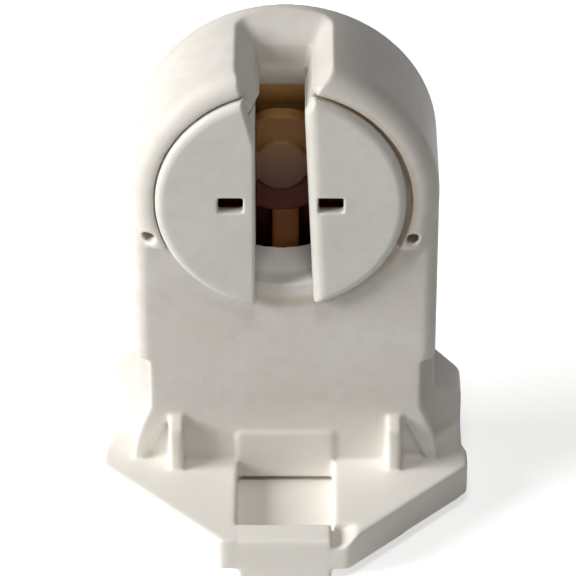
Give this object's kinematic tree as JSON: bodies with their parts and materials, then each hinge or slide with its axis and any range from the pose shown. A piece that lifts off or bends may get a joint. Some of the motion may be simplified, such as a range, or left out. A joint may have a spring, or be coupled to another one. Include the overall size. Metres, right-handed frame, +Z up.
{
  "type": "fluorescent tube lamp holder",
  "caption": "White moulded holder for the two-pin cap of a fluorescent tube, with a slotted turning rotor in an arched body on a pointed snap-in foot.",
  "frame": {"origin": "on the mounting plane (the underside of the foot), below the middle of the rotor's front face", "axes": "+X across the holder to the right as seen from the lamp, +Y from the lamp side to the back along the rotor's axis, +Z up away from the mounting plane"},
  "size_m": [0.0296, 0.0202, 0.0412],
  "materials": {
    "white_moulding": "satin",
    "rotor_moulding": "satin",
    "contact_bronze": "satin",
    "spring_steel": "brushed"
  },
  "bodies": {
    "holder": {"housing": "white_moulding", "cover": "white_moulding", "contact_left": "contact_bronze", "contact_right": "contact_bronze", "clamp_left": "spring_steel", "clamp_right": "spring_steel"},
    "rotor": {"rotor": "rotor_moulding"}
  },
  "joints": [
    {"name": "rotor_turn", "type": "hinge", "parent": "holder", "child": "rotor", "pos_m": [-0.00035, 0, 0.0282], "axis": [0, 1, 0], "range_deg": [-90, 90]}
  ]
}
